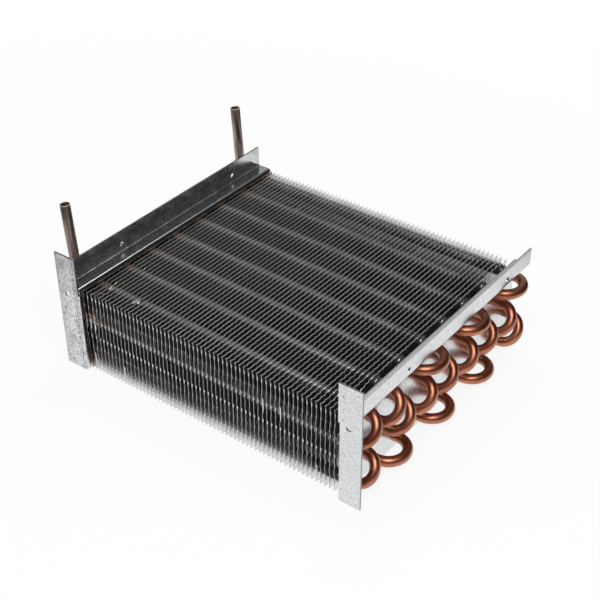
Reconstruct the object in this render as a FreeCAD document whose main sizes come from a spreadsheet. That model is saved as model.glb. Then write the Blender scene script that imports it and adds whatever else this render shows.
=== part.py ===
import FreeCAD, Part
import Sketcher
import math
import os

# Finned condenser coil: a block of thin aluminium fins on copper hairpin tubes between two folded
# steel end plates, with return bends and two open stubs at the left end.
# Millimetres. X runs along the tubes, Y from the front flanges to the back, Z up.
# Origin: in the middle of the coil's overall length and depth, level with its bottom edges.

SHEET_NAME = "Sizes"
PARTS_FOLDER = "parts"

# The way the refrigerant takes through the tubes, as (row, column). Row 1 is the top one and
# column 1 the front one. Tubes 1 and 2 are the legs of one hairpin, 3 and 4 of the next.
CIRCUIT = [
    (1, 1), (2, 1), (3, 1), (4, 1), (4, 2), (4, 3), (4, 4), (4, 5),
    (4, 6), (4, 7), (4, 8), (3, 8), (3, 7), (2, 8), (2, 7), (3, 6),
    (3, 5), (2, 6), (2, 5), (3, 4), (3, 3), (2, 4), (2, 3), (3, 2),
    (2, 2), (1, 2), (1, 3), (1, 4), (1, 5), (1, 6), (1, 7), (1, 8),
]
ROW_COUNT = max(row for row, column in CIRCUIT)
COLUMN_COUNT = max(column for row, column in CIRCUIT)
FIN_GROUP_COUNT = 20

# The tubes of every second row stand above each other
STAGGER_COUNT = 2

DRIVING_SIZES = [
    ("plate_span", 212.0, "between the inner faces of the end plates"),
    ("plate_thickness", 1.2, "steel sheet of the end plates"),
    ("bend_radius", 1.0, "inner radius of every fold"),
    ("fold_relief", 1.0, "notch under the shelf where two folds meet"),
    ("shelf_depth", 11.3, "web face to the inner face of the upstand"),
    ("left_upstand_rise", 15.3, "shelf to the top of the left upstand"),
    ("right_upstand_rise", 13.0, "shelf to the top of the right upstand"),
    ("left_flange_width", 18.0, "left front flange, from the web face"),
    ("right_flange_width", 16.8, "right front flange, from the web face"),
    ("flange_rise", 24.5, "shelf to the top of the front flanges"),
    ("upstand_hole_diameter", 3.5, "fixing holes in the upstands"),
    ("upstand_hole_height", 4.8, "shelf to the centre of those holes"),
    ("front_hole_margin", 55.2, "flange face to the front upstand hole"),
    ("rear_hole_margin", 32.0, "back edge to the rear upstand hole"),
    ("flange_hole_diameter", 4.0, "fixing hole in each front flange"),
    ("left_flange_hole_inset", 9.9, "web face to the centre of the left flange hole"),
    ("right_flange_hole_inset", 7.6, "web face to the centre of the right flange hole"),
    ("flange_hole_drop", 30.6, "flange top to the centres of the flange holes"),
    ("column_pitch", 25.4, "tube to tube along a row"),
    ("row_pitch", 16.0, "row to row"),
    ("tube_diameter", 7.2, "outside of every tube"),
    ("tube_wall", 0.5, "wall of every tube"),
    ("hole_clearance", 0.1, "tube to its hole in an end plate"),
    ("fin_thickness", 0.2, "aluminium foil of the fins"),
    ("fin_pitch", 3.42, "fin to fin"),
    ("fin_seat_clearance", 0.05, "tube to the edge of its fin opening"),
    ("first_fin_gap", 1.8, "left web face to the first fin"),
    ("last_fin_gap", 4.5, "least room between the last fin and the right web"),
    ("fin_setback", 4.2, "flange face to the front edges of the fins"),
    ("fin_floor", 0.5, "bottom edges of the plates to the fins"),
    ("shelf_lift", 1.2, "top edges of the fins to the shelf"),
    ("row_bend_straight", 4.2, "web face to the bend of a hairpin in one row"),
    ("cross_bend_straight", 4.9, "web face to the bend of a hairpin across rows"),
    ("cup_start", 3.0, "web face to the flare of a tube end"),
    ("cup_flare", 1.5, "length of the flare"),
    ("cup_length", 6.5, "length of the cup that takes a return bend"),
    ("cup_clearance", 0.1, "cup to the tube in it"),
    ("return_straight", 12.5, "web face to the curve of a return bend"),
    ("stub_reach", 25.0, "web face to the foot of a stub's riser"),
    ("stub_elbow_radius", 12.0, "centre line of a stub's elbow"),
    ("stub_turn", 86.0, "degrees that a stub turns from level to its riser"),
    ("stub_rise", 55.5, "top row of tubes to the open end of a stub"),
]

doc = FreeCAD.newDocument("finned_coil")
sheet = doc.addObject("Spreadsheet::Sheet", SHEET_NAME)
for line, (alias, number, meaning) in enumerate(DRIVING_SIZES, start=1):
    sheet.set("A%d" % line, meaning)
    sheet.set("B%d" % line, str(number))
    sheet.setAlias("B%d" % line, alias)
doc.recompute()


class Size:
    """A number together with the formula that binds it to the sheet."""

    def __init__(self, number, formula):
        self.number = number
        self.formula = formula

    def __add__(self, other):
        other = as_size(other)
        return Size(self.number + other.number, "(%s + %s)" % (self.formula, other.formula))

    def __sub__(self, other):
        other = as_size(other)
        return Size(self.number - other.number, "(%s - %s)" % (self.formula, other.formula))

    def __mul__(self, other):
        other = as_size(other)
        return Size(self.number * other.number, "(%s * %s)" % (self.formula, other.formula))

    def __truediv__(self, other):
        other = as_size(other)
        return Size(self.number / other.number, "(%s / %s)" % (self.formula, other.formula))

    def __neg__(self):
        return Size(-self.number, "(-%s)" % self.formula)


def as_size(value):
    return value if isinstance(value, Size) else Size(value, repr(value))


def cell(alias):
    return Size(float(sheet.get(alias)), "%s.%s" % (SHEET_NAME, alias))


def root(size):
    return Size(math.sqrt(size.number), "sqrt(%s)" % size.formula)


def sine(degrees):
    return Size(math.sin(math.radians(degrees.number)), "sin(%s)" % degrees.formula)


def cosine(degrees):
    return Size(math.cos(math.radians(degrees.number)), "cos(%s)" % degrees.formula)


def larger(size, other):
    number = max(size.number, other.number)
    return Size(number, "max(%s; %s)" % (size.formula, other.formula))


def slope_angle(rise, run):
    angle = math.degrees(math.atan(rise.number / run.number))
    return Size(angle, "atan(%s / %s)" % (rise.formula, run.formula))


ZERO = as_size(0.0)

# Sizes that follow from the driving ones
thickness = cell("plate_thickness")
fold_inside = cell("bend_radius")
fold_outside = fold_inside + thickness
half_span = cell("plate_span") / 2
tube_radius = cell("tube_diameter") / 2
bore_radius = tube_radius - cell("tube_wall")
column_pitch = cell("column_pitch")
row_pitch = cell("row_pitch")
fin_front = cell("fin_setback")
fin_back = fin_front + column_pitch * COLUMN_COUNT
fin_bottom = cell("fin_floor")
fin_top = fin_bottom + row_pitch * ROW_COUNT
shelf_top = fin_top + cell("shelf_lift")
shelf_under = shelf_top - thickness
plate_back = fin_back
flange_top = shelf_top + cell("flange_rise")
upstand_inside = cell("shelf_depth")
upstand_outside = upstand_inside + thickness
notch_bottom = shelf_under - fold_outside - cell("fold_relief")
cup_floor = cell("cup_start") + cell("cup_flare")
cup_mouth = cup_floor + cell("cup_length")
cup_bore = tube_radius + cell("cup_clearance")
cup_radius = cup_bore + cell("tube_wall")
cross_bend_radius = root(column_pitch * column_pitch / 4 + row_pitch * row_pitch) / 2

# The riser of a stub, from the left web's face and from the tube's height
stub_turn = cell("stub_turn")
elbow_radius = cell("stub_elbow_radius")
elbow_start = elbow_radius - cell("stub_reach")
riser_foot = (elbow_start - elbow_radius * sine(stub_turn),
              elbow_radius - elbow_radius * cosine(stub_turn))
riser_length = (cell("stub_rise") - riser_foot[1]) / sine(stub_turn)
riser_top = riser_foot[0] - riser_length * cosine(stub_turn)

# Midway between the end plates, measured from the middle of the overall length
left_reach = -riser_top + tube_radius * sine(stub_turn)
right_reach = tube_radius + larger(cell("row_bend_straight") + column_pitch / 2,
                                   cell("cross_bend_straight") + cross_bend_radius)
span_middle = (left_reach - right_reach) / 2
depth_middle = plate_back / 2


def tube_y(row, column):
    """Odd rows stand a quarter pitch behind the middle of their fin cell, even rows before it."""
    quarter = 0.75 if row % 2 else 0.25
    return fin_front + column_pitch * (column - 1 + quarter)


def tube_z(row):
    return fin_top - row_pitch * (row - 0.5)


def new_body(label):
    body = doc.addObject("PartDesign::Body", label)
    body.Label = label
    return body


def bind(feature, property_path, size):
    feature.setExpression(property_path, size.formula)


def place(body, x=ZERO, y=ZERO, z=ZERO):
    """Set a body by its distance from midway between the plates, the flange face and the floor."""
    x = span_middle + x
    y = y - depth_middle
    body.Placement = FreeCAD.Placement(
        FreeCAD.Vector(x.number, y.number, z.number), FreeCAD.Rotation())
    bind(body, "Placement.Base.x", x)
    bind(body, "Placement.Base.y", y)
    bind(body, "Placement.Base.z", z)


def tilt_about_x(body, angle):
    body.Placement.Rotation = FreeCAD.Rotation(FreeCAD.Vector(1, 0, 0), angle.number)
    bind(body, "Placement.Rotation.Angle", angle)


def origin_plane(body, role):
    return next(plane for plane in body.Origin.OriginFeatures if plane.Role == role)


def new_sketch(body, name, role, offset=ZERO):
    """A sketch on one of the body's own planes, moved along that plane's normal."""
    sketch = body.newObject("Sketcher::SketchObject", name)
    sketch.AttachmentSupport = [(origin_plane(body, role), "")]
    sketch.MapMode = "FlatFace"
    sketch.AttachmentOffset = FreeCAD.Placement(
        FreeCAD.Vector(0, 0, offset.number), FreeCAD.Rotation())
    if offset is not ZERO:
        bind(sketch, "AttachmentOffset.Base.z", offset)
    return sketch


def limit(sketch, kind, geometry, point, size):
    """Hold one coordinate of a point, measured from the sketch's origin."""
    index = sketch.addConstraint(Sketcher.Constraint(kind, -1, 1, geometry, point, size.number))
    bind(sketch, "Constraints[%d]" % index, size)


def hold_point(sketch, geometry, point, x, y):
    limit(sketch, "DistanceX", geometry, point, x)
    limit(sketch, "DistanceY", geometry, point, y)


def vector(x, y):
    return FreeCAD.Vector(x.number, y.number, 0)


def arc_between(centre, start, end, turns_left):
    first, last = (start, end) if turns_left else (end, start)
    angles = [math.atan2(p.y - centre.y, p.x - centre.x) for p in (first, last)]
    circle = Part.Circle(centre, FreeCAD.Vector(0, 0, 1), (start - centre).Length)
    return Part.ArcOfCircle(circle, angles[0], angles[1])


def draw_chain(sketch, stations, closed=True):
    """Joined lines and arcs. A station is (x, y), or (x, y, centre x, centre y, turns left)
    where an arc leaves it; every station is held by its formula."""
    count = len(stations) if closed else len(stations) - 1
    pieces = []
    for number in range(count):
        station = stations[number]
        following = stations[(number + 1) % len(stations)]
        start = vector(station[0], station[1])
        end = vector(following[0], following[1])
        if len(station) == 2:
            geometry = sketch.addGeometry(Part.LineSegment(start, end), False)
            pieces.append((geometry, 1, 2))
        else:
            centre = vector(station[2], station[3])
            turns_left = station[4]
            arc = arc_between(centre, start, end, turns_left)
            geometry = sketch.addGeometry(arc, False)
            pieces.append((geometry, 1, 2) if turns_left else (geometry, 2, 1))
    for number, (geometry, start_point, end_point) in enumerate(pieces):
        station = stations[number]
        if closed or number + 1 < len(pieces):
            following = pieces[(number + 1) % len(pieces)]
            sketch.addConstraint(Sketcher.Constraint(
                "Coincident", geometry, end_point, following[0], following[1]))
        else:
            hold_point(sketch, geometry, end_point, stations[-1][0], stations[-1][1])
        hold_point(sketch, geometry, start_point, station[0], station[1])
        if len(station) > 2:
            limit(sketch, "DistanceX", geometry, 3, station[2])


def rounded(corners):
    """Stations of an outline with upright and level sides, from (x, y, radius) corners."""
    stations = []
    for number, (x, y, radius) in enumerate(corners):
        if radius is None:
            stations.append((x, y))
            continue
        before = corners[number - 1]
        after = corners[(number + 1) % len(corners)]
        into = (sign(x.number - before[0].number), sign(y.number - before[1].number))
        out = (sign(after[0].number - x.number), sign(after[1].number - y.number))
        start = (shifted(x, radius, -into[0]), shifted(y, radius, -into[1]))
        centre = (shifted(start[0], radius, out[0]), shifted(start[1], radius, out[1]))
        turns_left = into[0] * out[1] - into[1] * out[0] > 0
        stations.append((start[0], start[1], centre[0], centre[1], turns_left))
        stations.append((shifted(x, radius, out[0]), shifted(y, radius, out[1])))
    return stations


def sign(number):
    return (number > 1e-9) - (number < -1e-9)


def shifted(size, distance, direction):
    if direction == 0:
        return size
    return size + distance if direction > 0 else size - distance


def draw_rectangle(sketch, left, bottom, right, top):
    draw_chain(sketch, [(left, bottom), (right, bottom), (right, top), (left, top)])


def draw_circle(sketch, x, y, radius):
    circle = Part.Circle(vector(x, y), FreeCAD.Vector(0, 0, 1), radius.number)
    geometry = sketch.addGeometry(circle, False)
    hold_point(sketch, geometry, 3, x, y)
    index = sketch.addConstraint(Sketcher.Constraint("Radius", geometry, radius.number))
    bind(sketch, "Constraints[%d]" % index, radius)


def pad(body, name, sketch, length, backwards=False):
    feature = body.newObject("PartDesign::Pad", name)
    feature.Profile = sketch
    feature.Reversed = backwards
    feature.Length = length.number
    bind(feature, "Length", length)
    return feature


def cut_through(body, name, sketch, backwards=False):
    feature = body.newObject("PartDesign::Pocket", name)
    feature.Profile = sketch
    feature.Type = "ThroughAll"
    feature.Reversed = backwards
    return feature


def sweep_tube(body, name, spine, profile):
    feature = body.newObject("PartDesign::AdditivePipe", name)
    feature.Profile = profile
    feature.Spine = (spine, ["Edge%d" % (number + 1) for number in range(spine.GeometryCount)])
    return feature


def draw_tube_section(sketch, x, y):
    draw_circle(sketch, x, y, tube_radius)
    draw_circle(sketch, x, y, bore_radius)


def build_end_plate(label, side, upstand_rise, flange_width, hole_inset):
    """One folded sheet: web, shelf and upstand along Y, and a flange across the front.
    side is -1 on the left and 1 on the right; distances run outwards from the web's face."""
    body = new_body(label)
    place(body)

    def across(distance):
        position = half_span + distance
        return position if side > 0 else -position

    upstand_top = shelf_top + upstand_rise
    section = new_sketch(body, label + "_section", "XZ_Plane", -fold_outside)
    draw_chain(section, rounded([
        (across(ZERO), ZERO, None),
        (across(ZERO), shelf_top, fold_outside),
        (across(upstand_inside), shelf_top, fold_inside),
        (across(upstand_inside), upstand_top, None),
        (across(upstand_outside), upstand_top, None),
        (across(upstand_outside), shelf_under, fold_outside),
        (across(thickness), shelf_under, fold_inside),
        (across(thickness), ZERO, None),
    ]))
    pad(body, label + "_channel", section, plate_back - fold_outside, backwards=True)

    fold = new_sketch(body, label + "_fold_section", "XY_Plane")
    draw_chain(fold, [
        (across(ZERO), fold_outside, across(fold_outside), fold_outside, side > 0),
        (across(fold_outside), ZERO),
        (across(fold_outside), thickness, across(fold_outside), fold_outside, side < 0),
        (across(thickness), fold_outside),
    ])
    pad(body, label + "_fold", fold, notch_bottom)

    flange = new_sketch(body, label + "_flange_outline", "XZ_Plane")
    draw_chain(flange, [
        (across(fold_outside), ZERO),
        (across(flange_width), ZERO),
        (across(flange_width), flange_top),
        (across(ZERO), flange_top),
        (across(ZERO), notch_bottom),
        (across(fold_outside), notch_bottom),
    ])
    pad(body, label + "_flange", flange, thickness, backwards=True)

    flange_hole = new_sketch(body, label + "_flange_hole_outline", "XZ_Plane")
    draw_circle(flange_hole, across(hole_inset),
                flange_top - cell("flange_hole_drop"), cell("flange_hole_diameter") / 2)
    cut_through(body, label + "_flange_hole", flange_hole)

    upstand_holes = new_sketch(body, label + "_upstand_hole_outlines", "YZ_Plane")
    for y in (cell("front_hole_margin"), plate_back - cell("rear_hole_margin")):
        draw_circle(upstand_holes, y, shelf_top + cell("upstand_hole_height"),
                    cell("upstand_hole_diameter") / 2)
    cut_through(body, label + "_upstand_holes", upstand_holes, backwards=side > 0)

    for row in range(1, STAGGER_COUNT + 1):
        outline = new_sketch(body, "%s_tube_hole_outline_%d" % (label, row), "YZ_Plane")
        lowest = row + ROW_COUNT - STAGGER_COUNT
        draw_circle(outline, tube_y(lowest, 1), tube_z(lowest),
                    tube_radius + cell("hole_clearance"))
        hole = cut_through(body, "%s_tube_hole_%d" % (label, row), outline, backwards=side > 0)
        pattern = body.newObject("PartDesign::LinearPattern", "%s_tube_holes_%d" % (label, row))
        pattern.Originals = [hole]
        pattern.Direction = (outline, ["H_Axis"])
        pattern.Length = (column_pitch * (COLUMN_COUNT - 1)).number
        bind(pattern, "Length", column_pitch * (COLUMN_COUNT - 1))
        pattern.Occurrences = COLUMN_COUNT
        pattern.Direction2 = (outline, ["V_Axis"])
        pattern.Length2 = (row_pitch * (ROW_COUNT - STAGGER_COUNT)).number
        bind(pattern, "Length2", row_pitch * (ROW_COUNT - STAGGER_COUNT))
        pattern.Occurrences2 = ROW_COUNT // STAGGER_COUNT
        body.Tip = pattern
    return body


def build_fin_group(label, first, count):
    """Neighbouring fins: flat plates, each open along its rows of tubes."""
    body = new_body(label)
    body.AllowCompound = True
    outline = new_sketch(body, label + "_outline", "YZ_Plane")
    draw_rectangle(outline, fin_front, fin_bottom, fin_back, fin_top)
    reach = tube_radius + cell("fin_seat_clearance")
    for row in range(1, ROW_COUNT + 1):
        draw_rectangle(outline, tube_y(row, 1) - reach, tube_z(row) - reach,
                       tube_y(row, COLUMN_COUNT) + reach, tube_z(row) + reach)
    feature = pad(body, label + "_fin", outline, cell("fin_thickness"))
    place(body, cell("first_fin_gap") - half_span + cell("fin_pitch") * first)
    if count > 1:
        pattern = body.newObject("PartDesign::LinearPattern", label + "_fins")
        pattern.Originals = [feature]
        pattern.Direction = (outline, ["N_Axis"])
        pattern.Length = (cell("fin_pitch") * (count - 1)).number
        bind(pattern, "Length", cell("fin_pitch") * (count - 1))
        pattern.Occurrences = count
        body.Tip = pattern
    return body


def join_of(tube, other):
    """Middle, half distance and tilt of the line between two neighbouring tubes."""
    y, z = tube_y(*tube), tube_z(tube[0])
    other_y, other_z = tube_y(*other), tube_z(other[0])
    run, rise = other_y - y, other_z - z
    middle = ((y + other_y) / 2, (z + other_z) / 2)
    if tube[0] == other[0]:
        return middle, column_pitch / 2, ZERO
    half_distance = root(run * run + rise * rise) / 2
    return middle, half_distance, slope_angle(rise, run)


def build_hairpin(label, tube, other):
    """Two straight legs with a half-round bend at the right, and a cup on each left end."""
    body = new_body(label)
    middle, bend_radius, tilt = join_of(tube, other)
    straight = cell("row_bend_straight" if tube[0] == other[0] else "cross_bend_straight")
    leg_start = -(half_span + cup_floor)
    bend_start = half_span + straight

    spine = new_sketch(body, label + "_spine", "XY_Plane")
    draw_chain(spine, [
        (leg_start, bend_radius),
        (bend_start, bend_radius, bend_start, ZERO, False),
        (bend_start, -bend_radius),
        (leg_start, -bend_radius),
    ], closed=False)
    profile = new_sketch(body, label + "_profile", "YZ_Plane", leg_start)
    draw_tube_section(profile, bend_radius, ZERO)
    sweep_tube(body, label + "_tube", spine, profile)

    cup = new_sketch(body, label + "_cup_section", "XY_Plane")
    cup.AttachmentOffset = FreeCAD.Placement(
        FreeCAD.Vector(0, bend_radius.number, 0), FreeCAD.Rotation())
    bind(cup, "AttachmentOffset.Base.y", bend_radius)
    flare_start = -(half_span + cell("cup_start"))
    mouth = -(half_span + cup_mouth)
    draw_chain(cup, [
        (flare_start, bore_radius),
        (flare_start, tube_radius),
        (leg_start, cup_radius),
        (mouth, cup_radius),
        (mouth, cup_bore),
        (leg_start, cup_bore),
        (leg_start, bore_radius),
    ])
    flared = body.newObject("PartDesign::Revolution", label + "_cup")
    flared.Profile = cup
    flared.ReferenceAxis = (cup, ["H_Axis"])
    flared.Angle = 360.0
    second = body.newObject("PartDesign::Mirrored", label + "_second_cup")
    second.Originals = [flared]
    second.MirrorPlane = (origin_plane(body, "XZ_Plane"), [""])
    body.Tip = second
    place(body, ZERO, middle[0], middle[1])
    tilt_about_x(body, tilt)
    return body


def build_return_bend(label, tube, other):
    """A half-round bend at the left, with both ends in the cups of two hairpins."""
    body = new_body(label)
    middle, bend_radius, tilt = join_of(tube, other)
    end = -(half_span + cup_floor)
    bend_start = -(half_span + cell("return_straight"))
    spine = new_sketch(body, label + "_spine", "XY_Plane")
    draw_chain(spine, [
        (end, bend_radius),
        (bend_start, bend_radius, bend_start, ZERO, True),
        (bend_start, -bend_radius),
        (end, -bend_radius),
    ], closed=False)
    profile = new_sketch(body, label + "_profile", "YZ_Plane", end)
    draw_tube_section(profile, bend_radius, ZERO)
    sweep_tube(body, label + "_tube", spine, profile)
    place(body, ZERO, middle[0], middle[1])
    tilt_about_x(body, tilt)
    return body


def build_stub(label, tube):
    """An open tube that leaves its cup to the left, turns up and leans slightly outwards."""
    body = new_body(label)
    spine = new_sketch(body, label + "_spine", "XZ_Plane")
    draw_chain(spine, [
        (-cup_floor, ZERO),
        (elbow_start, ZERO, elbow_start, elbow_radius, False),
        riser_foot,
        (riser_top, cell("stub_rise")),
    ], closed=False)
    profile = new_sketch(body, label + "_profile", "YZ_Plane", -cup_floor)
    draw_tube_section(profile, ZERO, ZERO)
    sweep_tube(body, label + "_tube", spine, profile)
    place(body, -half_span, tube_y(*tube), tube_z(tube[0]))
    return body


def fin_count():
    room = cell("plate_span").number - cell("first_fin_gap").number - cell("last_fin_gap").number
    return int(room / cell("fin_pitch").number) + 1


bodies = [
    build_end_plate("end_plate_left", -1, cell("left_upstand_rise"),
                    cell("left_flange_width"), cell("left_flange_hole_inset")),
    build_end_plate("end_plate_right", 1, cell("right_upstand_rise"),
                    cell("right_flange_width"), cell("right_flange_hole_inset")),
]
fins = fin_count()
for group in range(FIN_GROUP_COUNT):
    first = group * fins // FIN_GROUP_COUNT
    following = (group + 1) * fins // FIN_GROUP_COUNT
    bodies.append(build_fin_group("fins_%02d" % (group + 1), first, following - first))
for number in range(0, len(CIRCUIT), 2):
    label = "hairpin_tube_%02d" % (number // 2 + 1)
    bodies.append(build_hairpin(label, CIRCUIT[number], CIRCUIT[number + 1]))
for number in range(1, len(CIRCUIT) - 1, 2):
    label = "return_bend_%02d" % (number // 2 + 1)
    bodies.append(build_return_bend(label, CIRCUIT[number], CIRCUIT[number + 1]))
bodies.append(build_stub("stub_tube_front", CIRCUIT[0]))
bodies.append(build_stub("stub_tube_rear", CIRCUIT[-1]))
doc.recompute()

for item in doc.Objects:
    if "Invalid" in item.State or "Error" in item.State:
        raise RuntimeError("%s failed: %s" % (item.Label, item.State))
for body in bodies:
    if body.Shape.isNull() or not body.Shape.isValid() or not body.Shape.Solids:
        raise RuntimeError("%s has no valid solid" % body.Label)

os.makedirs(PARTS_FOLDER, exist_ok=True)
for body in bodies:
    body.Shape.exportStep(os.path.join(PARTS_FOLDER, body.Label + ".step"))
    print(body.Label, len(body.Shape.Solids), round(body.Shape.Volume, 1))
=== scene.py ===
import math
import random

import bpy
import numpy as np
from mathutils import Matrix, Vector, geometry


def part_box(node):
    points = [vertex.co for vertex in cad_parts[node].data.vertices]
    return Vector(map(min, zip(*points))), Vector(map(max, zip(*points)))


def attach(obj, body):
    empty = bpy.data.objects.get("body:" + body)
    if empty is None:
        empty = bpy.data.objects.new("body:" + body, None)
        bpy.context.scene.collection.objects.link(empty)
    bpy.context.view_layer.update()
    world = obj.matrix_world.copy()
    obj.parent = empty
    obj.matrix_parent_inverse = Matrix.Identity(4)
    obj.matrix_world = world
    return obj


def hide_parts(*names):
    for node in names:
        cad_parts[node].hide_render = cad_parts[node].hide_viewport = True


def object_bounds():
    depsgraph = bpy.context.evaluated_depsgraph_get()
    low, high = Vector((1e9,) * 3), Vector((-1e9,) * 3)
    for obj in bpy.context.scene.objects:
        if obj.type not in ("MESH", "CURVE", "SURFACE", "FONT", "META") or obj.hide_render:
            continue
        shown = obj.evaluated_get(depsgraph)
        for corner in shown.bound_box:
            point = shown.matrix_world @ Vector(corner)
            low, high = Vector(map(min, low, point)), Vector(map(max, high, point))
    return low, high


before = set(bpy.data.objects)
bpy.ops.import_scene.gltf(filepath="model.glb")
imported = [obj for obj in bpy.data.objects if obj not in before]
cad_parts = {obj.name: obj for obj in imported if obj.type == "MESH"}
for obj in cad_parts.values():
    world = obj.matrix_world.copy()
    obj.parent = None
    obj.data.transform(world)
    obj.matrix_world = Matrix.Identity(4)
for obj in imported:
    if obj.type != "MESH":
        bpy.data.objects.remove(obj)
cad_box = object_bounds()

# Sizes of the solids, in millimetres, with X and Y measured from the front end of the left web's inner face
MM = 0.001
PLATE_SPAN = 212.0
SHEET = 1.2
COLUMN_PITCH = 25.4
ROW_PITCH = 16.0
COLUMNS = 8
ROWS = 4
TUBE_RADIUS = 3.6
TUBE_WALL = 0.5
FIN_FRONT = 4.2
FIN_BACK = FIN_FRONT + COLUMN_PITCH * COLUMNS
FIN_BOTTOM = 0.5
FIN_TOP = FIN_BOTTOM + ROW_PITCH * ROWS
FIN_PITCH = 3.42
CUP_START = 3.0
CUP_FLOOR = 4.5
CUP_MOUTH = 11.0
CUP_BORE = 3.7
CUP_RADIUS = 4.2
FOLD_RADIUS = 2.2
SHELF_TOP = FIN_TOP + 1.2
FLANGE_TOP = SHELF_TOP + 24.5
LEFT_UPSTAND_TOP = SHELF_TOP + 15.3
RIGHT_UPSTAND_TOP = SHELF_TOP + 13.0
LEFT_FLANGE = 18.0
RIGHT_FLANGE = 16.8
RETURN_STRAIGHT = 12.5
ROW_BEND_STRAIGHT = 4.2
CROSS_BEND_STRAIGHT = 4.9
ELBOW_START = 13.0
ELBOW_RADIUS = 12.0
ELBOW_TURN = math.radians(86.0)
STUB_RISE = 55.5

# The solids' box is centred on the origin in X and Y
LEFT_WEB = cad_box[1].x / MM - TUBE_RADIUS - COLUMN_PITCH / 2 - ROW_BEND_STRAIGHT - PLATE_SPAN
RIGHT_WEB = LEFT_WEB + PLATE_SPAN
FLANGE_FACE = cad_box[0].y / MM

# The tubes in the order of the circuit, as (row, column)
CIRCUIT = [
    (1, 1), (2, 1), (3, 1), (4, 1), (4, 2), (4, 3), (4, 4), (4, 5),
    (4, 6), (4, 7), (4, 8), (3, 8), (3, 7), (2, 8), (2, 7), (3, 6),
    (3, 5), (2, 6), (2, 5), (3, 4), (3, 3), (2, 4), (2, 3), (3, 2),
    (2, 2), (1, 2), (1, 3), (1, 4), (1, 5), (1, 6), (1, 7), (1, 8),
]


def tube_yz(row, column):
    """The axis of a tube. Row 1 is at the top, column 1 at the front; odd rows stand half a pitch back."""
    quarter = 0.75 if row % 2 else 0.25
    y = FIN_FRONT + COLUMN_PITCH * (column - 1 + quarter)
    z = FIN_TOP - ROW_PITCH * (row - 0.5)
    return y, z


TUBES = [tube_yz(row, column) for row in range(1, ROWS + 1) for column in range(1, COLUMNS + 1)]


def to_frame(points):
    """Millimetres from the left web's front end to metres in the row frame."""
    moved = np.array(points, float) + [LEFT_WEB, FLANGE_FACE, 0.0]
    return moved * MM


SHARP_TURN = math.radians(50.0)


def add_piece(name, points, faces, material):
    """A piece on the root body, smooth but for edges that turn by more than SHARP_TURN."""
    mesh = bpy.data.meshes.new(name)
    mesh.from_pydata([tuple(p) for p in to_frame(points)], [], faces)
    mesh.validate()
    mesh.polygons.foreach_set("use_smooth", [True] * len(mesh.polygons))
    mesh.set_sharp_from_angle(angle=SHARP_TURN)
    mesh.update()
    piece = bpy.data.objects.new(name, mesh)
    bpy.context.scene.collection.objects.link(piece)
    mesh.materials.append(material)
    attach(piece, "root")
    return piece


# Materials

class Shading:
    """The nodes of one tree. A value is a number, a colour or another node's output."""

    def __init__(self, tree):
        self.nodes = tree.nodes
        self.links = tree.links

    def put(self, socket, value):
        """Give a socket its value, or link it."""
        if isinstance(value, bpy.types.NodeSocket):
            self.links.new(value, socket)
        elif socket.type == "RGBA":
            socket.default_value = (*value, 1.0)
        else:
            socket.default_value = value

    def node(self, kind, sockets, **settings):
        """The outputs of a new node, with its settings and sockets filled in."""
        made = self.nodes.new("ShaderNode" + kind)
        for name, value in settings.items():
            setattr(made, name, value)
        for name, value in sockets.items():
            self.put(made.inputs[name], value)
        return made.outputs

    def place(self):
        """The shaded point, in metres."""
        return self.node("TexCoord", {})["Object"]

    def axes(self, at):
        parts = self.node("SeparateXYZ", {"Vector": at})
        return parts["X"], parts["Y"], parts["Z"]

    def stretched(self, at, factors):
        return self.node("VectorMath", {0: at, 1: factors}, operation="MULTIPLY")["Vector"]

    def noise(self, at, scale, detail=3.0, roughness=0.55):
        sockets = {"Vector": at, "Scale": scale, "Detail": detail, "Roughness": roughness}
        return self.node("TexNoise", sockets)["Fac"]

    def math(self, operation, first, second=0.0):
        return self.node("Math", {0: first, 1: second}, operation=operation)[0]

    def product(self, first, *others):
        for other in others:
            first = self.math("MULTIPLY", first, other)
        return first

    def largest(self, first, *others):
        for other in others:
            first = self.math("MAXIMUM", first, other)
        return first

    def map_range(self, value, to, start=(0.0, 1.0), smooth=False):
        """A value that runs over start, spread over to and held at both ends."""
        sockets = {"Value": value, "From Min": start[0], "From Max": start[1],
                   "To Min": to[0], "To Max": to[1]}
        kind = "SMOOTHSTEP" if smooth else "LINEAR"
        return self.node("MapRange", sockets, interpolation_type=kind)["Result"]

    def near(self, coordinate, at_mm, half_width):
        """1 within half_width mm of a place along an axis, 0 elsewhere."""
        off = self.math("ABSOLUTE", self.math("SUBTRACT", coordinate, at_mm * MM))
        return self.math("LESS_THAN", off, half_width * MM)

    def within(self, coordinate, low, high):
        """How many metres a coordinate lies inside a range in millimetres."""
        off = self.math("ABSOLUTE", self.math("SUBTRACT", coordinate, (low + high) / 2 * MM))
        return self.math("SUBTRACT", (high - low) / 2 * MM, off)

    def mix(self, factor, first, second, blend="MIX"):
        return self.node("Mix", {0: factor, 6: first, 7: second}, data_type="RGBA", blend_type=blend)[2]

    def ramp(self, value, stops):
        node = self.nodes.new("ShaderNodeValToRGB")
        elements = node.color_ramp.elements
        while len(elements) < len(stops):
            elements.new(0.5)
        for element, (position, colour) in zip(elements, stops):
            element.position = position
            element.color = (*colour, 1.0)
        self.put(node.inputs["Fac"], value)
        return node.outputs["Color"]


class Material(Shading):
    """A new material, whose nodes end in one shader."""

    def __init__(self, name):
        self.made = bpy.data.materials.new(name)
        self.made.use_nodes = True
        super().__init__(self.made.node_tree)

    def surface(self, sockets):
        """The finished material, with these sockets of its shader filled in."""
        for name, value in sockets.items():
            self.put(self.nodes["Principled BSDF"].inputs[name], value)
        return self.made


def grey(level):
    return (level, level, level)


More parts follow.
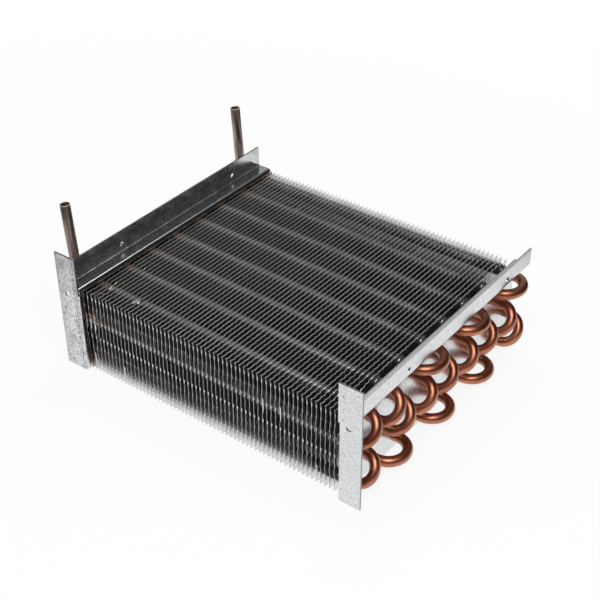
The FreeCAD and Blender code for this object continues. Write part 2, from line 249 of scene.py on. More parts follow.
def clouded(name, scale, dark, light, metallic, roughness):
    """A plain surface that drifts between two colours; roughness is a number or a range."""
    plain = Material(name)
    cloud = plain.noise(plain.place(), scale)
    if isinstance(roughness, tuple):
        roughness = plain.map_range(cloud, roughness)
    tone = plain.ramp(cloud, [(0.3, dark), (0.7, light)])
    return plain.surface({"Base Color": tone, "Metallic": metallic, "Roughness": roughness})


# How far a sheet's cut edge shows grey, in mm
CUT_DEPTH = 0.06


def galvanised_steel():
    """Zinc sheet: a fine grain, flakes and dark flecks, stained on the left plate, grey where it is cut, with
    painted shade along the folds and under the right upstand's burr.
    """
    steel = Material("galvanised_steel")
    at = steel.place()
    x, y, z = steel.axes(at)
    on_left = steel.math("LESS_THAN", x, 0.0)
    on_flanges = steel.math("LESS_THAN", y, (FLANGE_FACE + 0.4) * MM)
    behind_flanges = steel.math("GREATER_THAN", y, (FLANGE_FACE + 2.0) * MM)

    flakes = steel.node("TexVoronoi", {"Vector": at, "Scale": 420.0})["Color"]
    flakes = steel.node("SeparateColor", {"Color": flakes})
    colour = steel.ramp(flakes["Red"], [(0.0, (0.74, 0.75, 0.76)), (1.0, (0.80, 0.81, 0.82))])
    grain = steel.ramp(steel.noise(at, 1500.0, 1.0), [(0.30, grey(0.78)), (0.66, grey(1.0))])
    colour = steel.mix(1.0, colour, grain, "MULTIPLY")

    # Stains on the left plate, with grime towards the flange's free edge
    left_edge = LEFT_WEB - LEFT_FLANGE
    grime = steel.map_range(x, (0.14, 0.0), (left_edge * MM, (left_edge + 8.0) * MM))
    cloud = steel.math("SUBTRACT", steel.noise(at, 110.0, 5.0, 0.65), grime)
    stains = steel.ramp(cloud, [(0.32, grey(0.66)), (0.56, grey(1.0))])
    stained = steel.mix(1.0, colour, stains, "MULTIPLY")
    colour = steel.mix(steel.math("MULTIPLY", on_left, 0.9), colour, stained)

    # Dark flecks, more of them on the left plate and beside the flanges' folds
    fold = FOLD_RADIUS + SHEET
    beside_fold = steel.largest(steel.near(x, LEFT_WEB - fold, 1.4), steel.near(x, RIGHT_WEB + fold, 1.6))
    more = steel.math("ADD", steel.math("MULTIPLY", on_left, 0.085),
                      steel.product(beside_fold, on_flanges, 0.06))
    specks = steel.noise(steel.stretched(at, (1.0, 1.0, 0.6)), 1250.0, 1.5)
    flecks = steel.ramp(steel.math("SUBTRACT", specks, more), [(0.24, (0.20, 0.20, 0.21)), (0.33, grey(1.0))])
    colour = steel.mix(1.0, colour, flecks, "MULTIPLY")

    # Two dark lines along the left flange's fold, painted shade where the fold's curve turns from the light
    fold_shade_line = LEFT_WEB - FOLD_RADIUS
    lines = steel.largest(steel.near(x, fold_shade_line, 0.30), steel.near(x, fold_shade_line + 1.3, 0.22))
    colour = steel.mix(steel.product(lines, on_flanges, 0.62), colour, grey(0.16))

    # Painted shade along the left shelf's outer fold, and a painted shadow under the burr on top of the right
    # upstand
    fold_and_edge_shade = steel.product(steel.near(x, LEFT_WEB - 0.8, 1.4), steel.near(z, SHELF_TOP - 0.8, 1.4))
    upstand_edge_shadow = steel.product(steel.near(z, RIGHT_UPSTAND_TOP - 0.45, 0.38), steel.math("SUBTRACT", 1.0, on_left))
    fold_and_edge_shade = steel.product(steel.largest(fold_and_edge_shade, upstand_edge_shadow), behind_flanges, 0.75)
    colour = steel.mix(fold_and_edge_shade, colour, grey(0.24))

    cut = steel.product(steel.near(z, LEFT_UPSTAND_TOP, CUT_DEPTH), behind_flanges)
    for coordinate, edge in ((z, FLANGE_TOP), (z, 0.0), (x, left_edge), (x, RIGHT_WEB + RIGHT_FLANGE)):
        cut = steel.largest(cut, steel.near(coordinate, edge, CUT_DEPTH))
    colour = steel.mix(cut, colour, (0.26, 0.26, 0.27))

    inner_fold = steel.product(steel.near(x, LEFT_WEB - 10.2, 1.3), steel.near(z, SHELF_TOP + 0.8, 1.3))
    roughness = steel.math("ADD", steel.map_range(flakes["Green"], (0.17, 0.23)),
                           steel.math("MULTIPLY", inner_fold, 0.04))
    relief = steel.node("Bump", {"Height": steel.noise(at, 300.0), "Strength": 0.015, "Distance": 0.2 * MM})
    return steel.surface({"Base Color": colour, "Metallic": 0.97, "Roughness": roughness,
                          "Normal": relief["Normal"]})


def brazing_heat_and_shade(shading, at, reach):
    """1 at the left web, where the joints were brazed, falling in patches to 0 after reach mm. On the fins it
    also carries painted shade under the left shelf.
    """
    x, y, z = shading.axes(at)
    fall = shading.map_range(x, (2.2, 0.0), (LEFT_WEB * MM, (LEFT_WEB + reach) * MM))
    return shading.math("MINIMUM", shading.product(fall, shading.noise(at, 180.0, 2.0)), 1.0)


# Painted glints: bright spots along the fins' front and back edges, as (height, strength), and their half
# height
EDGE_GLINTS = [
    (4.4, 0.1), (12.6, 0.2), (20.6, 0.35), (28.6, 1.0), (36.0, 0.2), (43.0, 0.5), (52.6, 0.35), (60.3, 0.7),
]
EDGE_GLINT_REACH = 1.9

# Places on the fins, as (x, y, z, radius): painted glints, whitish spots where bent foil catches the light,
# then browned patches
GLINT_PATCHES = [
    (12.3, 18.1, 64.5, 1.9), (12.2, 24.0, 64.5, 1.0), (15.6, 27.5, 64.5, 0.8), (36.0, 15.2, 64.5, 1.5),
    (39.4, 17.0, 64.5, 1.5), (15.5, 48.5, 64.5, 0.9), (207.2, 28.0, 64.5, 2.2),
]
BROWNED = [
    (12.6, 5.5, 64.5, 2.4), (13.0, 10.5, 64.5, 2.2), (9.0, 8.5, 64.5, 2.6), (5.2, 20.5, 64.5, 3.4),
    (9.0, 20.5, 64.5, 3.0), (5.2, 46.0, 64.5, 3.2), (8.8, 47.0, 64.5, 2.2), (5.2, 72.0, 64.5, 2.8),
    (5.2, 98.0, 64.5, 2.6), (5.2, 123.5, 64.5, 2.4), (8.6, 4.2, 44.0, 4.5), (8.6, 4.2, 28.0, 4.0),
    (12.0, 4.2, 40.0, 2.5),
]


def marked(shading, at, places):
    """1 in every given place, 0 elsewhere."""
    mark = 0.0
    for x, y, z, radius in places:
        middle = to_frame([(x, y, z)])[0]
        apart = shading.node("VectorMath", {0: at, 1: middle}, operation="DISTANCE")["Value"]
        mark = shading.largest(mark, shading.math("LESS_THAN", apart, radius * MM))
    return mark


def fin_foil():
    """Rolled aluminium foil with dull pale cut edges and painted glints, browned, and darkened with painted
    shade, beside the left web.
    """
    foil = Material("fin_foil")
    at = foil.place()
    x, y, z = foil.axes(at)
    tone = foil.ramp(foil.noise(at, 60.0), [(0.3, (0.60, 0.60, 0.59)), (0.7, (0.72, 0.72, 0.71))])

    # Painted glints: at these heights the edges widen and turn near white
    stops = []
    for height, strength in EDGE_GLINTS:
        for rise, level in ((-EDGE_GLINT_REACH, 0.0), (0.0, strength), (EDGE_GLINT_REACH, 0.0)):
            stops.append(((height + rise) / FIN_TOP, grey(level)))
    edge_glint = foil.ramp(foil.map_range(z, (0.0, 1.0), (0.0, FIN_TOP * MM)), stops)
    to_edge = foil.math("MINIMUM", foil.within(y, FIN_FRONT + FLANGE_FACE, FIN_BACK + FLANGE_FACE),
                        foil.within(z, FIN_BOTTOM, FIN_TOP))
    to_edge = foil.math("SUBTRACT", to_edge, foil.math("MULTIPLY", edge_glint, 0.7 * MM))
    edge = foil.map_range(to_edge, (0.0, 1.0), (0.18 * MM, 0.08 * MM))
    at_top = foil.math("GREATER_THAN", z, (FIN_TOP - 0.5) * MM)
    rim = foil.mix(at_top, (0.49, 0.49, 0.485), (0.68, 0.68, 0.675))
    rim = foil.mix(edge_glint, rim, (0.98, 0.98, 0.97))
    colour = foil.mix(edge, tone, rim)

    # Brazing heat tint beside the left web, near black as painted shade under the left shelf's fold
    colour = foil.mix(brazing_heat_and_shade(foil, at, 6.5), colour, (0.16, 0.11, 0.08))
    patchy = foil.map_range(foil.noise(at, 500.0, 2.0), (0.0, 1.0), (0.38, 0.58))
    browned = foil.product(marked(foil, at, BROWNED), patchy)
    colour = foil.mix(browned, colour, (0.25, 0.155, 0.10))
    # Painted glints: dull whitish spots on the bent foil
    glint_patch = marked(foil, at, GLINT_PATCHES)
    colour = foil.mix(glint_patch, colour, (0.92, 0.92, 0.91))
    dull = foil.largest(edge, glint_patch, foil.math("MULTIPLY", browned, 0.5))
    return foil.surface({"Base Color": colour, "Metallic": foil.map_range(dull, (0.987, 0.0)),
                         "Roughness": foil.map_range(dull, (0.22, 0.60))})


def drawn_collar():
    """Foil that the drawing of the collars has roughened, duller beside the right plate and darkened there
    with painted shade.
    """
    collar = Material("drawn_collar")
    at = collar.place()
    x, y, z = collar.axes(at)
    cloud = collar.noise(at, 400.0)
    tone = collar.ramp(cloud, [(0.3, (0.26, 0.265, 0.27)), (0.7, (0.34, 0.345, 0.35))])
    tone = collar.mix(brazing_heat_and_shade(collar, at, 15.0), tone, (0.34, 0.215, 0.14))
    # Painted shade on the collars beside the right plate
    shaded = collar.math("GREATER_THAN", x, (RIGHT_WEB - 20.0) * MM)
    roughness = collar.math("ADD", collar.map_range(cloud, (0.44, 0.56)),
                            collar.math("MULTIPLY", shaded, 0.28))
    return collar.surface({"Base Color": collar.mix(shaded, tone, grey(0.12)), "Metallic": 1.0,
                           "Roughness": roughness})


def bright_copper():
    """Drawn copper under a thin film, darkened by heat at the mouths of the cups."""
    copper = Material("bright_copper")
    at = copper.place()
    x, y, z = copper.axes(at)
    cloud = copper.noise(at, 90.0, 4.0)
    tone = copper.ramp(cloud, [(0.32, (0.39, 0.115, 0.055)), (0.68, (0.60, 0.23, 0.13))])
    off = copper.math("ABSOLUTE", copper.math("SUBTRACT", x, (LEFT_WEB - CUP_MOUTH) * MM))
    heat = copper.product(copper.map_range(off, (1.5, 0.0), (1.0 * MM, 9.0 * MM)), copper.noise(at, 240.0))
    heat = copper.math("MINIMUM", heat, 1.0)
    return copper.surface({"Base Color": copper.mix(heat, tone, (0.16, 0.075, 0.055)), "Metallic": 1.0,
                           "Roughness": copper.map_range(cloud, (0.36, 0.44)),
                           "Coat Weight": 0.55, "Coat Roughness": 0.25})


def dull_copper():
    """Tarnished copper with streaks along the risers."""
    copper = Material("dull_copper")
    cloud = copper.noise(copper.stretched(copper.place(), (1.0, 1.0, 0.12)), 260.0, 5.0)
    tone = copper.ramp(cloud, [(0.36, (0.16, 0.105, 0.08)), (0.64, (0.60, 0.46, 0.39))])
    return copper.surface({"Base Color": tone, "Metallic": 1.0,
                           "Roughness": copper.map_range(cloud, (0.32, 0.52)),
                           "Coat Weight": 0.6, "Coat Roughness": 0.2})


STEEL = galvanised_steel()
# The edge breaks: dark as sheared steel, and darker still as painted shade along the sheet's edges
SHEARED_STEEL_AND_SHADE = clouded("sheared_edge_and_shade", 500.0, (0.10, 0.10, 0.11), (0.24, 0.24, 0.25), 0.7, 0.5)
FOIL = fin_foil()
COLLAR = drawn_collar()
COPPER = bright_copper()
TARNISH = dull_copper()
FILLER = clouded("braze_filler", 700.0, (0.36, 0.27, 0.19), (0.62, 0.52, 0.40), 1.0, (0.28, 0.5))
BORE = clouded("tube_bore", 300.0, (0.020, 0.018, 0.016), (0.05, 0.042, 0.036), 0.0, 0.7)
# The stubs' sawn ends: pale as freshly cut copper, and paler still as a painted highlight on the rim
SAWN_END_AND_HIGHLIGHT = clouded("sawn_end_and_highlight", 900.0, (0.70, 0.56, 0.50), (0.88, 0.76, 0.70), 0.5, 0.45)

# Fins

CORRUGATION = COLUMN_PITCH / 10
WAVE_HEIGHT = 0.40
EDGE_KINK = 0.25
FOIL_HALF = 0.08
FLAT_RADIUS = 5.0
FLAT_FADE = 3.0
KINK_REACH = 6.0
GRID_STEP = 4.0
GRID_CLEARANCE = 6.6
RING_POINTS = 16
OPENING_RADIUS = 3.9
RING_RADIUS = 5.6
COLLAR_BORE = 3.66
COLLAR_RADIUS = 3.80
COLLAR_FLARE = 4.15
COLLAR_LENGTH = 3.2


def fin_outline():
    """Points and triangles of one fin in its own plane, open at every tube."""
    lines_y = [FIN_FRONT + CORRUGATION * k for k in range(COLUMNS * 10 + 1)]
    lines_z = [FIN_BOTTOM + GRID_STEP * k for k in range(int(ROW_PITCH * ROWS / GRID_STEP) + 1)]
    centres = np.array(TUBES)
    points = []
    for y in lines_y:
        for z in lines_z:
            nearest = np.min(np.hypot(centres[:, 0] - y, centres[:, 1] - z))
            if nearest > GRID_CLEARANCE:
                points.append((y, z))
    rings = []
    for y, z in TUBES:
        ring = []
        for radius in (OPENING_RADIUS, RING_RADIUS):
            for k in range(RING_POINTS):
                angle = 2 * math.pi * k / RING_POINTS
                if radius == OPENING_RADIUS:
                    ring.append(len(points))
                points.append((y + radius * math.cos(angle), z + radius * math.sin(angle)))
        rings.append(ring)
    flat = [Vector(p) for p in points]
    made = geometry.delaunay_2d_cdt(flat, [], [], 0, 1e-6)
    if len(made[0]) != len(points):
        raise RuntimeError("two points of the fin's outline fell together")
    order = [group[0] for group in made[3]]
    triangles = []
    for face in made[2]:
        a, b, c = (order[i] for i in face)
        y = (points[a][0] + points[b][0] + points[c][0]) / 3
        z = (points[a][1] + points[b][1] + points[c][1]) / 3
        if np.min(np.hypot(centres[:, 0] - y, centres[:, 1] - z)) > TUBE_RADIUS:
            triangles.append((a, b, c))
    return np.array(points), triangles, rings


def smooth_step(value):
    value = np.clip(value, 0.0, 1.0)
    return value * value * (3.0 - 2.0 * value)


def triangle_wave(phase):
    return 1.0 - 4.0 * np.abs(phase - np.floor(phase) - 0.5)


def fin_relief(points):
    """How far the foil stands out of its plane: the corrugation, and kinks along both edges."""
    y, z = points[:, 0], points[:, 1]
    centres = np.array(TUBES)
    nearest = np.min(np.hypot(y[:, None] - centres[:, 0], z[:, None] - centres[:, 1]), axis=1)
    away = smooth_step((nearest - FLAT_RADIUS) / FLAT_FADE)
    corrugation = WAVE_HEIGHT * triangle_wave((y - FIN_FRONT) / (2 * CORRUGATION))
    from_edge = np.minimum(y - FIN_FRONT, FIN_BACK - y)
    beside_edge = 1.0 - smooth_step(from_edge / KINK_REACH)
    kink = EDGE_KINK * triangle_wave((z - FIN_BOTTOM) / ROW_PITCH) * beside_edge
    return corrugation * away + kink


def boundary_loops(triangles):
    """Directed edges that only one triangle has."""
    seen = {}
    for a, b, c in triangles:
        for edge in ((a, b), (b, c), (c, a)):
            seen[edge] = True
    return [edge for edge in seen if (edge[1], edge[0]) not in seen]


def build_fin():
    """One closed foil fin with a drawn collar at every tube, in its own plane at x = 0."""
    flat, triangles, rings = fin_outline()
    relief = fin_relief(flat)
    count = len(flat)
    inner = flat.copy()
    for (y, z), ring in zip(TUBES, rings):
        for k in ring:
            direction = np.array([flat[k][0] - y, flat[k][1] - z])
            inner[k] = np.array([y, z]) + direction / np.linalg.norm(direction) * COLLAR_BORE
    right = np.column_stack([relief + FOIL_HALF, flat[:, 0], flat[:, 1]])
    left = np.column_stack([relief - FOIL_HALF, inner[:, 0], inner[:, 1]])
    points = [tuple(p) for p in right] + [tuple(p) for p in left]
    faces = [tuple(t) for t in triangles]
    faces += [(a + count, c + count, b + count) for a, b, c in triangles]
    ring_members = {k for ring in rings for k in ring}
    for a, b in boundary_loops(triangles):
        if a not in ring_members:
            faces.append((b, a, a + count, b + count))
    for (y, z), ring in zip(TUBES, rings):
        stations = [
            (FOIL_HALF + 0.35, COLLAR_RADIUS), (COLLAR_LENGTH - 0.45, COLLAR_RADIUS),
            (COLLAR_LENGTH, COLLAR_FLARE), (COLLAR_LENGTH - 0.35, COLLAR_BORE),
        ]
        loops = [ring]
        for x, radius in stations:
            loop = []
            for k in range(RING_POINTS):
                angle = 2 * math.pi * k / RING_POINTS
                loop.append(len(points))
                points.append((x, y + radius * math.cos(angle), z + radius * math.sin(angle)))
            loops.append(loop)
        loops.append([k + count for k in ring])
        for near, far in zip(loops, loops[1:]):
            for k in range(RING_POINTS):
                after = (k + 1) % RING_POINTS
                faces.append((near[k], near[after], far[after], far[k]))
    collar_faces = len(TUBES) * (len(loops) - 1) * RING_POINTS
    return np.array(points), faces, collar_faces


FIN_POINTS, FIN_FACES, COLLAR_FACES = build_fin()
fin_nodes = sorted(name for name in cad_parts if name.startswith("fins_"))


def fins_in(node):
    """X of every fin plane in a CAD node."""
    low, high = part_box(node)
    first = low.x / MM - LEFT_WEB + 0.1
    last = high.x / MM - LEFT_WEB - 0.1
    count = int(round((last - first) / FIN_PITCH)) + 1
    return [first + FIN_PITCH * k for k in range(count)]


# Bent places, as (fin, y, z, push, radius): those in the photograph, then light random ones
BENDS = [
    (0, 4.2, 30.0, -1.0, 12.0), (0, 4.2, 55.0, -1.0, 12.0), (1, 4.2, 30.0, -0.8, 12.0),
    (1, 4.2, 55.0, -0.8, 12.0), (3, 17.7, 64.5, 0.9, 2.6), (10, 16.5, 64.5, 1.2, 3.6),
    (11, 19.0, 64.5, -0.9, 3.2),
    (14, 174.5, 64.5, 0.9, 2.6), (41, 79.3, 64.5, -0.9, 3.0), (60, 28.0, 64.5, 1.1, 7.0),
    (60, 199.5, 64.5, 1.2, 5.0), (2, 15.0, 64.5, 0.7, 4.0),
]
FIN_COUNT = sum(len(fins_in(node)) for node in fin_nodes)
LIGHT_BENDS = 70
chance = random.Random(7)
for _ in range(LIGHT_BENDS):
    face_y, face_z = chance.choice([(None, FIN_TOP), (FIN_FRONT, None), (FIN_BACK, None), (None, FIN_BOTTOM)])
    BENDS.append((chance.randrange(FIN_COUNT),
                  chance.uniform(FIN_FRONT, FIN_BACK) if face_y is None else face_y,
                  chance.uniform(FIN_BOTTOM, FIN_TOP) if face_z is None else face_z,
                  chance.choice([-1, 1]) * chance.uniform(0.2, 0.55), chance.uniform(2.4, 4.5)))
fin_number = 0
for node in fin_nodes:
    points = []
    faces = []
    for x in fins_in(node):
        start = len(points)
        lean = chance.uniform(-0.08, 0.08)
        placed = FIN_POINTS + [x, 0.0, 0.0]
        placed[:, 0] += lean * (placed[:, 2] - FIN_TOP / 2) / FIN_TOP
        for number, y, z, push, radius in BENDS:
            if number == fin_number:
                off = ((FIN_POINTS[:, 1] - y) ** 2 + (FIN_POINTS[:, 2] - z) ** 2) / radius ** 2
                placed[:, 0] += push * np.exp(-off)
        fin_number += 1
        points.extend(placed.tolist())
        faces.extend(tuple(k + start for k in face) for face in FIN_FACES)
    piece = add_piece("corrugated_" + node, points, faces, FOIL)
    piece.data.materials.append(COLLAR)
    slots = [0] * (len(FIN_FACES) - COLLAR_FACES) + [1] * COLLAR_FACES
    piece.data.polygons.foreach_set("material_index", slots * len(fins_in(node)))
    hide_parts(node)

# Tubes

AROUND = 32
HAIRPIN_STEPS = 28
RETURN_STEPS = 24
ELBOW_STEPS = 24
FLATTENING = 0.035
EDGE_BREAK = 0.12


def tube_piece(name, centres, normals, binormals, radii, material, flattening=None):
    """A closed tube wall along centres; radii holds (outer, inner) for every station."""
    points = []
    faces = []
    loops = []
    stations = list(range(len(centres)))
    for side in (0, 1):
        for n in (stations if side == 0 else reversed(stations)):
            loop = []
            for k in range(AROUND):
                angle = 2 * math.pi * k / AROUND
                radius = radii[n][side]
                squeeze = 0.0 if flattening is None else flattening[n]
                offset = (np.array(normals[n]) * math.cos(angle) * (1.0 - squeeze)
                          + np.array(binormals[n]) * math.sin(angle) * (1.0 + 0.5 * squeeze)) * radius
                loop.append(len(points))
                points.append(tuple(np.array(centres[n]) + offset))
            loops.append(loop)
    for n, near in enumerate(loops):
        far = loops[(n + 1) % len(loops)]
        for k in range(AROUND):
            after = (k + 1) % AROUND
            faces.append((near[k], near[after], far[after], far[k]))
    return add_piece(name, points, faces, material)


def hairpin(number, tube, other):
    """Two legs, a half-round bend beyond the right plate and a flared cup on each left end."""
    first, second = np.array(tube_yz(*tube)), np.array(tube_yz(*other))
    middle = (first + second) / 2
    across = (second - first) / 2
    reach = np.linalg.norm(across)
    across = across / reach
    straight = ROW_BEND_STRAIGHT if tube[0] == other[0] else CROSS_BEND_STRAIGHT
    out = np.array([0.0, *(-across)])
    flat = np.cross([1.0, 0.0, 0.0], out)
    bend_x = PLATE_SPAN + straight
    stations = []
    for x, outer, inner in ((-CUP_MOUTH, CUP_RADIUS, CUP_BORE), (-CUP_FLOOR, CUP_RADIUS, CUP_BORE),
                            (-CUP_FLOOR + 0.02, CUP_RADIUS - 0.02, TUBE_RADIUS - TUBE_WALL),
                            (-CUP_START, TUBE_RADIUS, TUBE_RADIUS - TUBE_WALL)):
        stations.append((x, outer, inner))
    for x in (-1.0, 2.0, PLATE_SPAN - 6.0, PLATE_SPAN, bend_x - 0.6):
        stations.append((x, TUBE_RADIUS, TUBE_RADIUS - TUBE_WALL))
    centres, normals, binormals, radii, squeeze = [], [], [], [], []
    for x, outer, inner in stations:
        centres.append((x, *(middle - across * reach)))
        normals.append(out)
        binormals.append(flat)
        radii.append((outer, inner))
        squeeze.append(0.0)
    for k in range(HAIRPIN_STEPS + 1):
        turn = math.pi * k / HAIRPIN_STEPS
        radial = out * math.cos(turn) + np.array([1.0, 0.0, 0.0]) * math.sin(turn)
        centres.append(tuple(np.array([bend_x, *middle]) + radial * reach))
        normals.append(radial)
        binormals.append(flat)
        radii.append((TUBE_RADIUS, TUBE_RADIUS - TUBE_WALL))
        squeeze.append(FLATTENING * math.sin(turn))
    for x, outer, inner in reversed(stations):
        centres.append((x, *(middle + across * reach)))
        normals.append(-out)
        binormals.append(flat)
        radii.append((outer, inner))
        squeeze.append(0.0)
    piece = tube_piece("drawn_hairpin_%02d" % number, centres, normals, binormals, radii, COPPER, squeeze)
    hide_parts("hairpin_tube_%02d" % number)


def return_bend(number, tube, other):
    """A half-round bend at the left, with both ends in the cups of two hairpins."""
    first, second = np.array(tube_yz(*tube)), np.array(tube_yz(*other))
    middle = (first + second) / 2
    across = (second - first) / 2
    reach = np.linalg.norm(across)
    out = np.array([0.0, *(-across / reach)])
    left = np.array([-1.0, 0.0, 0.0])
    flat = np.cross(left, out)
    centres = [(x, *first) for x in (-CUP_FLOOR, -8.0, -CUP_MOUTH, -RETURN_STRAIGHT + 0.4)]
    normals = [out] * 4
    squeeze = [0.0] * 4
    for k in range(RETURN_STEPS + 1):
        turn = math.pi * k / RETURN_STEPS
        radial = out * math.cos(turn) + left * math.sin(turn)
        centres.append(tuple(np.array([-RETURN_STRAIGHT, *middle]) + radial * reach))
        normals.append(radial)
        squeeze.append(FLATTENING * math.sin(turn))
    centres += [(x, *second) for x in (-RETURN_STRAIGHT + 0.4, -CUP_MOUTH, -8.0, -CUP_FLOOR)]
    normals += [-out] * 4
    squeeze += [0.0] * 4
    radii = [(TUBE_RADIUS, TUBE_RADIUS - TUBE_WALL)] * len(centres)
    piece = tube_piece("formed_return_bend_%02d" % number, centres, normals, [flat] * len(centres), radii,
                       COPPER, squeeze)
    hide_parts("return_bend_%02d" % number)


def stub(name, tube):
    """An open tube that leaves its cup to the left, turns up and leans slightly outwards."""
    y, z = tube_yz(*tube)
    stations = [(-CUP_FLOOR, 0.0, 0.0), (-8.0, 0.0, 0.0), (-CUP_MOUTH, 0.0, 0.0)]
    for k in range(ELBOW_STEPS + 1):
        turn = ELBOW_TURN * k / ELBOW_STEPS
        stations.append((-ELBOW_START - ELBOW_RADIUS * math.sin(turn),
                         ELBOW_RADIUS * (1.0 - math.cos(turn)), turn))
    foot_x, foot_z, turn = stations[-1]
    length = (STUB_RISE - foot_z) / math.sin(turn)
    for along in (0.3, length / 3, 2 * length / 3, length - 0.4, length):
        stations.append((foot_x - along * math.cos(turn), foot_z + along * math.sin(turn), turn))
    centres = [(x, y, z + rise) for x, rise, turn in stations]
    normals = [(math.sin(turn), 0.0, math.cos(turn)) for x, rise, turn in stations]
    radii = [(TUBE_RADIUS, TUBE_RADIUS - TUBE_WALL)] * (len(stations) - 1)
    radii.append((TUBE_RADIUS - EDGE_BREAK, TUBE_RADIUS - TUBE_WALL + EDGE_BREAK))
    piece = tube_piece("bent_" + name, centres, normals, [(0.0, 1.0, 0.0)] * len(stations), radii, TARNISH)
    piece.data.materials.append(BORE)
    # The sawn rim carries a painted highlight
    piece.data.materials.append(SAWN_END_AND_HIGHLIGHT)
    along = len(stations) - 2
    slots = [0] * along + [2] * 3 + [1] * along + [0]
    piece.data.polygons.foreach_set("material_index", [slot for slot in slots for _ in range(AROUND)])
    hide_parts(name)


# The filler's outline, as (distance beyond the cup's mouth, radius)
FILLET = [(-0.1, 4.0), (-0.05, 4.16), (0.25, 3.98), (0.55, 3.78), (1.0, 3.63), (1.02, 3.58)]


def brazing_fillets():
    """The collar of filler at the mouth of every cup."""
    points = []
    faces = []
    for number, (y, z) in enumerate(TUBES):
        spread = random.Random(number)
        loops = []
        for beyond, radius in FILLET:
            loop = []
            for k in range(AROUND):
                angle = 2 * math.pi * k / AROUND
                uneven = 1.0 + 0.25 * math.sin(angle + spread.uniform(-0.2, 0.2) + number)
                run = CUP_MOUTH + beyond * (uneven if beyond > 0.0 else 1.0)
                loop.append(len(points))
                points.append((-run, y + radius * math.cos(angle), z + radius * math.sin(angle)))
            loops.append(loop)
        for near, far in zip(loops, loops[1:] + loops[:1]):
            for k in range(AROUND):
                after = (k + 1) % AROUND
                faces.append((near[k], near[after], far[after], far[k]))
    piece = add_piece("brazing_fillets", points, faces, FILLER)


for number in range(0, len(CIRCUIT), 2):
    hairpin(number // 2 + 1, CIRCUIT[number], CIRCUIT[number + 1])
for number in range(1, len(CIRCUIT) - 1, 2):
    return_bend(number // 2 + 1, CIRCUIT[number], CIRCUIT[number + 1])
stub("stub_tube_front", CIRCUIT[0])
stub("stub_tube_rear", CIRCUIT[-1])
brazing_fillets()

# End plates, with a fine break along every cut edge

for name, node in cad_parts.items():
    node.data.materials.clear()
    node.data.materials.append(STEEL if name.startswith("end_plate") else COPPER)
    if name.startswith("end_plate"):
        node.data.materials.append(SHEARED_STEEL_AND_SHADE)
        chamfer = node.modifiers.new("edge_break", "BEVEL")
        chamfer.width = EDGE_BREAK * MM
        chamfer.segments = 1
        chamfer.limit_method = "ANGLE"
        chamfer.angle_limit = math.radians(60.0)
        # The edge break takes the sheared steel, darkened as painted shade along the edges
        chamfer.material = 1

# Floor, world and lamps

def seen_ray(shading, reflected):
    """1 where the camera looks, and the given value in reflections and through glass."""
    path = shading.node("LightPath", {})
    mirrored = shading.largest(path["Is Glossy Ray"], path["Is Transmission Ray"])
    return shading.largest(path["Is Camera Ray"], shading.product(mirrored, reflected))


# The floor is white around the object, keeps its shadow, and fades from its reflections
paper = Material("floor_white")
floor_material = paper.surface({"Base Color": grey(0.85), "Roughness": 0.8})
from_middle = paper.stretched(paper.place(), (0.6, 0.8, 1.0))
away = paper.node("VectorMath", {0: from_middle}, operation="LENGTH")["Value"]
reflected = paper.map_range(away, (1.0, 0.05), (0.15, 0.30), smooth=True)
glow = paper.node("Emission", {"Color": grey(1.0), "Strength": seen_ray(paper, reflected)})
shadow = paper.map_range(away, (0.12, 0.0), (0.12, 0.50), smooth=True)
kept_shadow = paper.product(paper.node("LightPath", {})["Is Camera Ray"], shadow)
white = paper.math("SUBTRACT", seen_ray(paper, 1.0), kept_shadow)
lit_floor = paper.nodes["Principled BSDF"].outputs["BSDF"]
both = paper.node("MixShader", {0: white, 1: lit_floor, 2: glow["Emission"]})
paper.put(paper.nodes["Material Output"].inputs["Surface"], both["Shader"])
floor_mesh = bpy.data.meshes.new("floor")
floor_mesh.from_pydata([(-6, -6, 0), (6, -6, 0), (6, 6, 0), (-6, 6, 0)], [], [(0, 1, 2, 3)])
floor = bpy.data.objects.new("floor", floor_mesh)
floor_mesh.materials.append(floor_material)
floor.location.z = -0.0005
bpy.context.scene.collection.objects.link(floor)

world = bpy.data.worlds.new("studio")
bpy.context.scene.world = world
world.use_nodes = True
studio = Shading(world.node_tree)
backdrop = studio.nodes["Background"]
studio.put(backdrop.inputs["Color"], grey(1.0))
studio.put(backdrop.inputs["Strength"], 1.0)
light = studio.node("Background", {"Color": grey(1.0), "Strength": 0.50})["Background"]
both = studio.node("MixShader", {0: seen_ray(studio, 1.0), 1: light, 2: backdrop.outputs["Background"]})
studio.put(studio.nodes["World Output"].inputs["Surface"], both["Shader"])


def soft_lamp(name, place, aim, size, watts):
    lamp = bpy.data.lights.new(name, "AREA")
    lamp.shape = "RECTANGLE"
    lamp.size, lamp.size_y = size
    lamp.energy = watts
    holder = bpy.data.objects.new(name, lamp)
    bpy.context.scene.collection.objects.link(holder)
    holder.location = place
    holder.rotation_mode = "QUATERNION"
    holder.rotation_quaternion = (Vector(aim) - Vector(place)).to_track_quat("-Z", "Y")
    return holder


soft_lamp("front_softbox", (0.50, -0.55, 1.15), (0.0, 0.0, 0.03), (0.75, 0.75), 10.5)
soft_lamp("rear_softbox", (-0.30, 0.50, 1.20), (0.0, 0.0, 0.03), (0.6, 0.45), 3.8)


def studio_card(name, tone, corners):
    """A card of an even grey that metal reflects, and that nothing else sees."""
    face = Material(name).surface({"Base Color": grey(0.0), "Specular IOR Level": 0.0,
                                   "Emission Color": grey(1.0), "Emission Strength": tone})
    mesh = bpy.data.meshes.new(name)
    mesh.from_pydata(corners, [], [(0, 1, 2, 3)])
    mesh.materials.append(face)
    card = bpy.data.objects.new(name, mesh)
    bpy.context.scene.collection.objects.link(card)
    card.visible_camera = False
    card.visible_diffuse = False
    card.visible_shadow = False


def upright_card(name, tone, start, end, bottom, top):
    (x0, y0), (x1, y1) = start, end
    studio_card(name, tone, [(x0, y0, bottom), (x1, y1, bottom), (x1, y1, top), (x0, y0, top)])


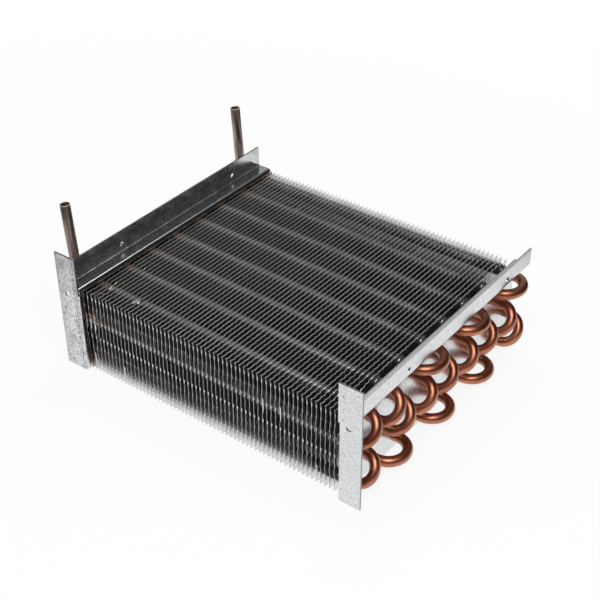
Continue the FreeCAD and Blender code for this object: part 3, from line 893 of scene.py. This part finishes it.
def level_card(name, tone, low, high, z):
    (x0, y0), (x1, y1) = low, high
    studio_card(name, tone, [(x0, y0, z), (x1, y0, z), (x1, y1, z), (x0, y1, z)])


FAR = 2.5
CEILING = 1.8
BELOW_FLOOR = -0.01
DARK = 0.04
PALE = 0.40
level_card("ceiling_card", 0.03, (-FAR, -FAR), (FAR, 1.0), CEILING)
level_card("rear_left_ceiling_card", 0.45, (-FAR, 1.0), (0.2, FAR), CEILING)
level_card("rear_right_ceiling_card", 0.03, (0.2, 1.0), (FAR, FAR), CEILING)
upright_card("front_card", DARK, (-FAR, -FAR), (FAR, -FAR), BELOW_FLOOR, CEILING)
upright_card("right_card", DARK, (FAR, -FAR), (FAR, FAR), BELOW_FLOOR, CEILING)
upright_card("back_right_card", DARK, (FAR, FAR), (0.2, FAR), BELOW_FLOOR, CEILING)
upright_card("back_left_card", PALE, (0.2, FAR), (-FAR, FAR), BELOW_FLOOR, CEILING)
upright_card("left_card", PALE, (-FAR, FAR), (-FAR, -FAR), BELOW_FLOOR, CEILING)

# Camera, from the photograph's vanishing lines

scene = bpy.context.scene
camera_data = bpy.data.cameras.new("camera")
camera = bpy.data.objects.new("camera", camera_data)
scene.collection.objects.link(camera)
scene.camera = camera
FOCAL_PIXELS = 1235.22
PHOTO_PIXELS = 600.0
camera_data.sensor_width = 36.0
camera_data.lens = camera_data.sensor_width * FOCAL_PIXELS / PHOTO_PIXELS
camera_data.clip_start = 0.05
camera_data.clip_end = 50.0
azimuth, elevation, roll = 0.648034, 0.611275, -0.0058822
forward = Vector((-math.sin(azimuth) * math.cos(elevation), math.cos(azimuth) * math.cos(elevation),
                  -math.sin(elevation)))
level = Vector((math.cos(azimuth), math.sin(azimuth), 0.0))
upward = level.cross(forward)
right = level * math.cos(roll) + upward * math.sin(roll)
up = upward * math.cos(roll) - level * math.sin(roll)
turned = Matrix((right, up, -forward)).transposed()
stand = to_frame([(523.63, -447.44, 529.44)])[0]
camera.matrix_world = Matrix.Translation(Vector(stand)) @ turned.to_4x4()

scene.view_settings.view_transform = "Standard"
